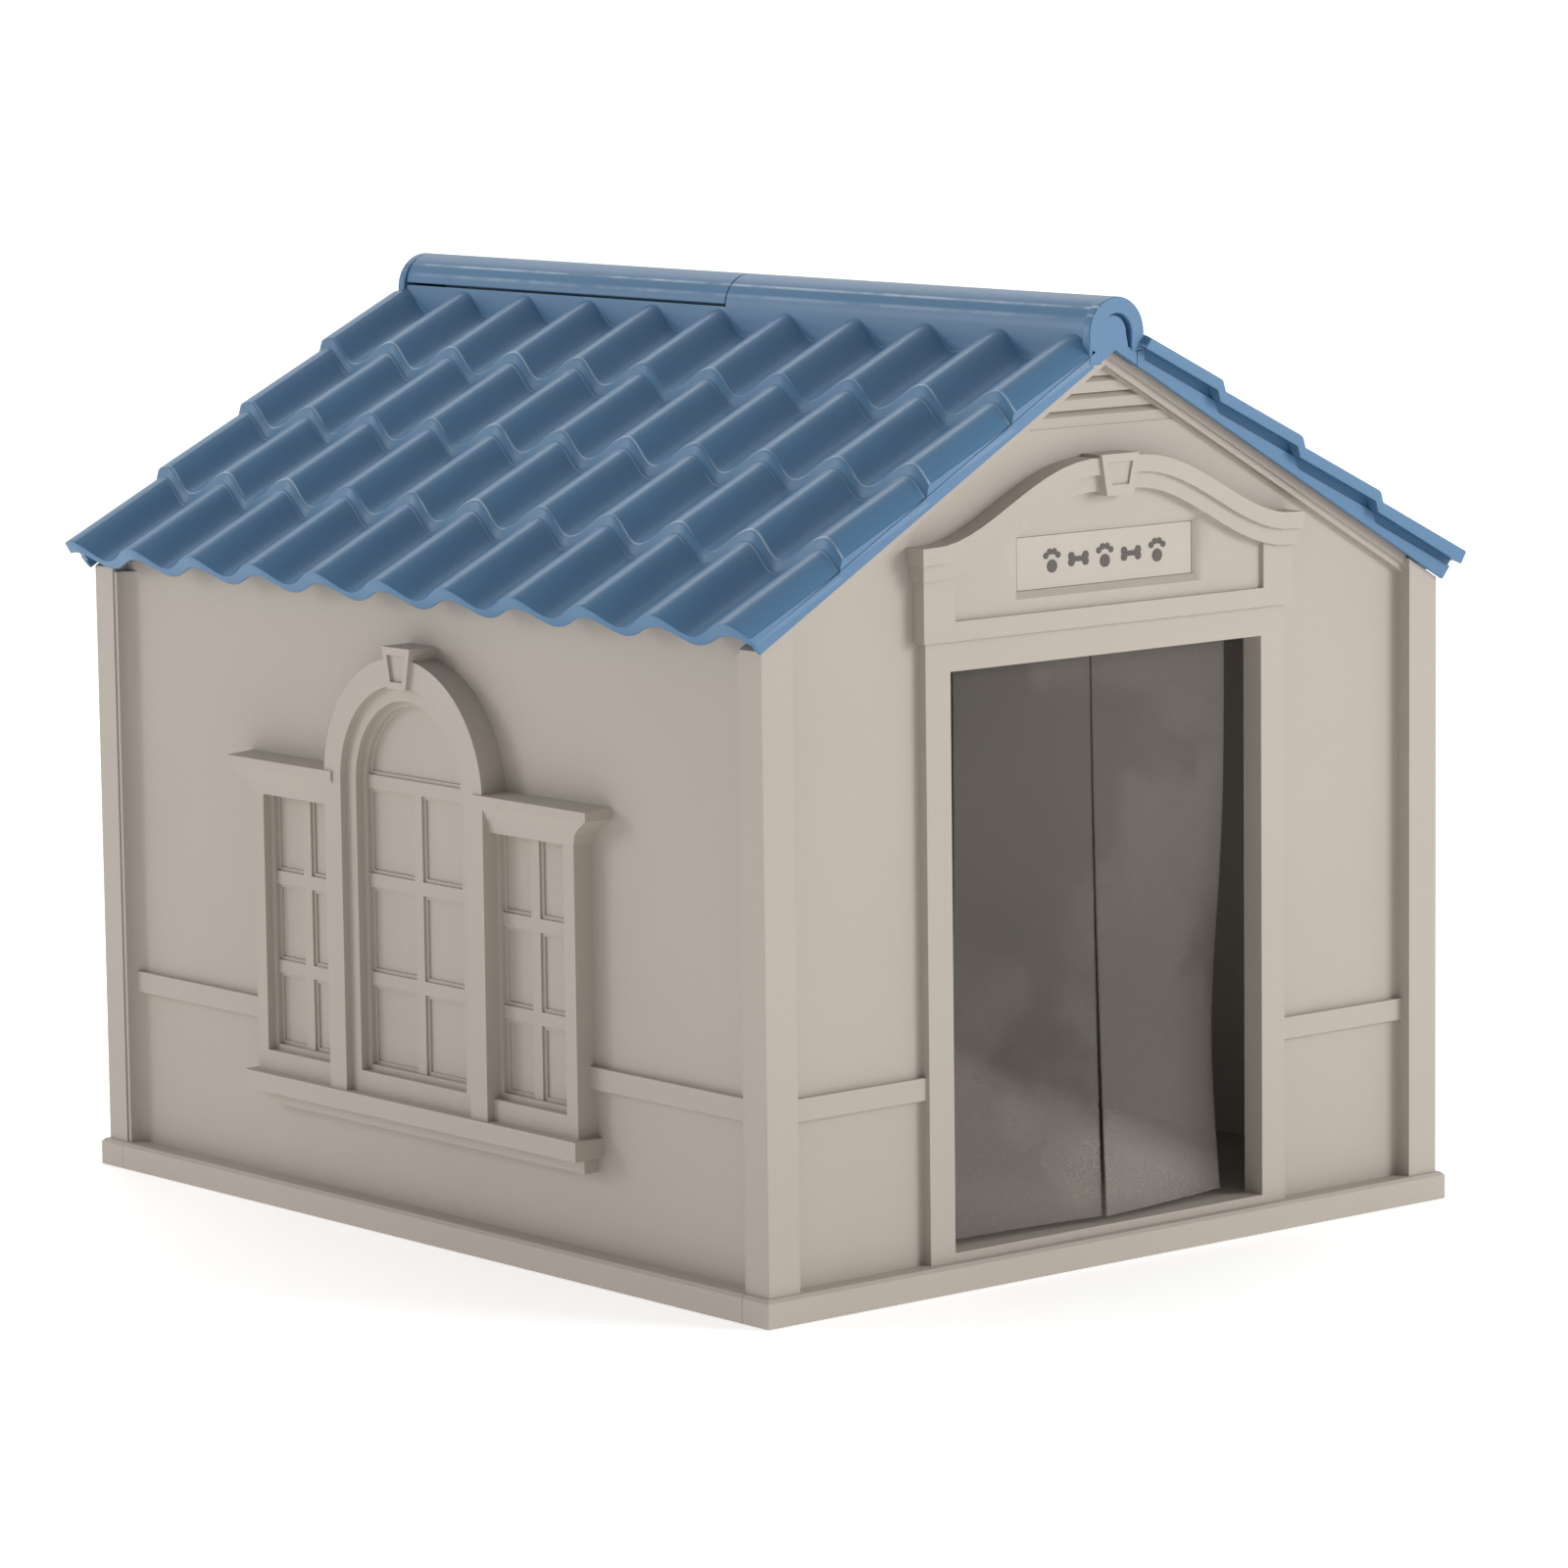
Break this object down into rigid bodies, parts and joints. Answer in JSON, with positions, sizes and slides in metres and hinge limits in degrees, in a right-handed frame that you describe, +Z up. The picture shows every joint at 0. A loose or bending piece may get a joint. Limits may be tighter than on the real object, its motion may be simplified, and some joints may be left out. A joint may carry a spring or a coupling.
{
  "type": "dog kennel",
  "caption": "Moulded resin pet kennel with a wavy tiled gable roof, arched window reliefs and a pair of hanging clear door flaps.",
  "frame": {"origin": "on the ground, at the centre of the kennel's box", "axes": "+Z up, +Y from the door wall to the back wall, +X to the right seen from the front"},
  "size_m": [0.822, 0.978, 0.821],
  "materials": {
    "wall_resin": "moulded, fine sand texture",
    "floor_resin": "moulded, fine sand texture",
    "roof_resin": "moulded, satin",
    "plate_resin": "moulded, smooth satin",
    "decal_vinyl": "printed vinyl film",
    "clear_vinyl": "clear flexible sheet, slightly wavy",
    "rivet_resin": "moulded",
    "zinc_steel": "zinc plated"
  },
  "bodies": {
    "house": {"floor_pan": "floor_resin", "front_wall": "wall_resin", "back_wall": "wall_resin", "left_wall": "wall_resin", "right_wall": "wall_resin", "door_header": "wall_resin", "header_screws": "zinc_steel", "name_plate": "plate_resin", "name_decals": "decal_vinyl", "flap_hems": "clear_vinyl", "left_flap_batten": "wall_resin", "right_flap_batten": "wall_resin", "flap_rivets": "rivet_resin", "front_corner_screws": "zinc_steel", "back_corner_screws": "zinc_steel", "floor_screws": "zinc_steel"},
    "roof": {"roof_panel_left": "roof_resin", "roof_panel_right": "roof_resin", "ridge_bolts": "zinc_steel", "ridge_nuts": "zinc_steel"},
    "flap_left": {"left_flap": "clear_vinyl"},
    "flap_right": {"right_flap": "clear_vinyl"}
  },
  "joints": [
    {"name": "roof_lift", "type": "slide", "parent": "house", "child": "roof", "axis": [0, 0, 1], "range_m": [0, 0.3]},
    {"name": "left_flap_swing", "type": "hinge", "parent": "house", "child": "flap_left", "pos_m": [-0.0777, -0.44585, 0.519], "axis": [1, 0, 0], "range_deg": [-80, 80]},
    {"name": "right_flap_swing", "type": "hinge", "parent": "house", "child": "flap_right", "pos_m": [0.0777, -0.44585, 0.519], "axis": [1, 0, 0], "range_deg": [-80, 80]}
  ]
}
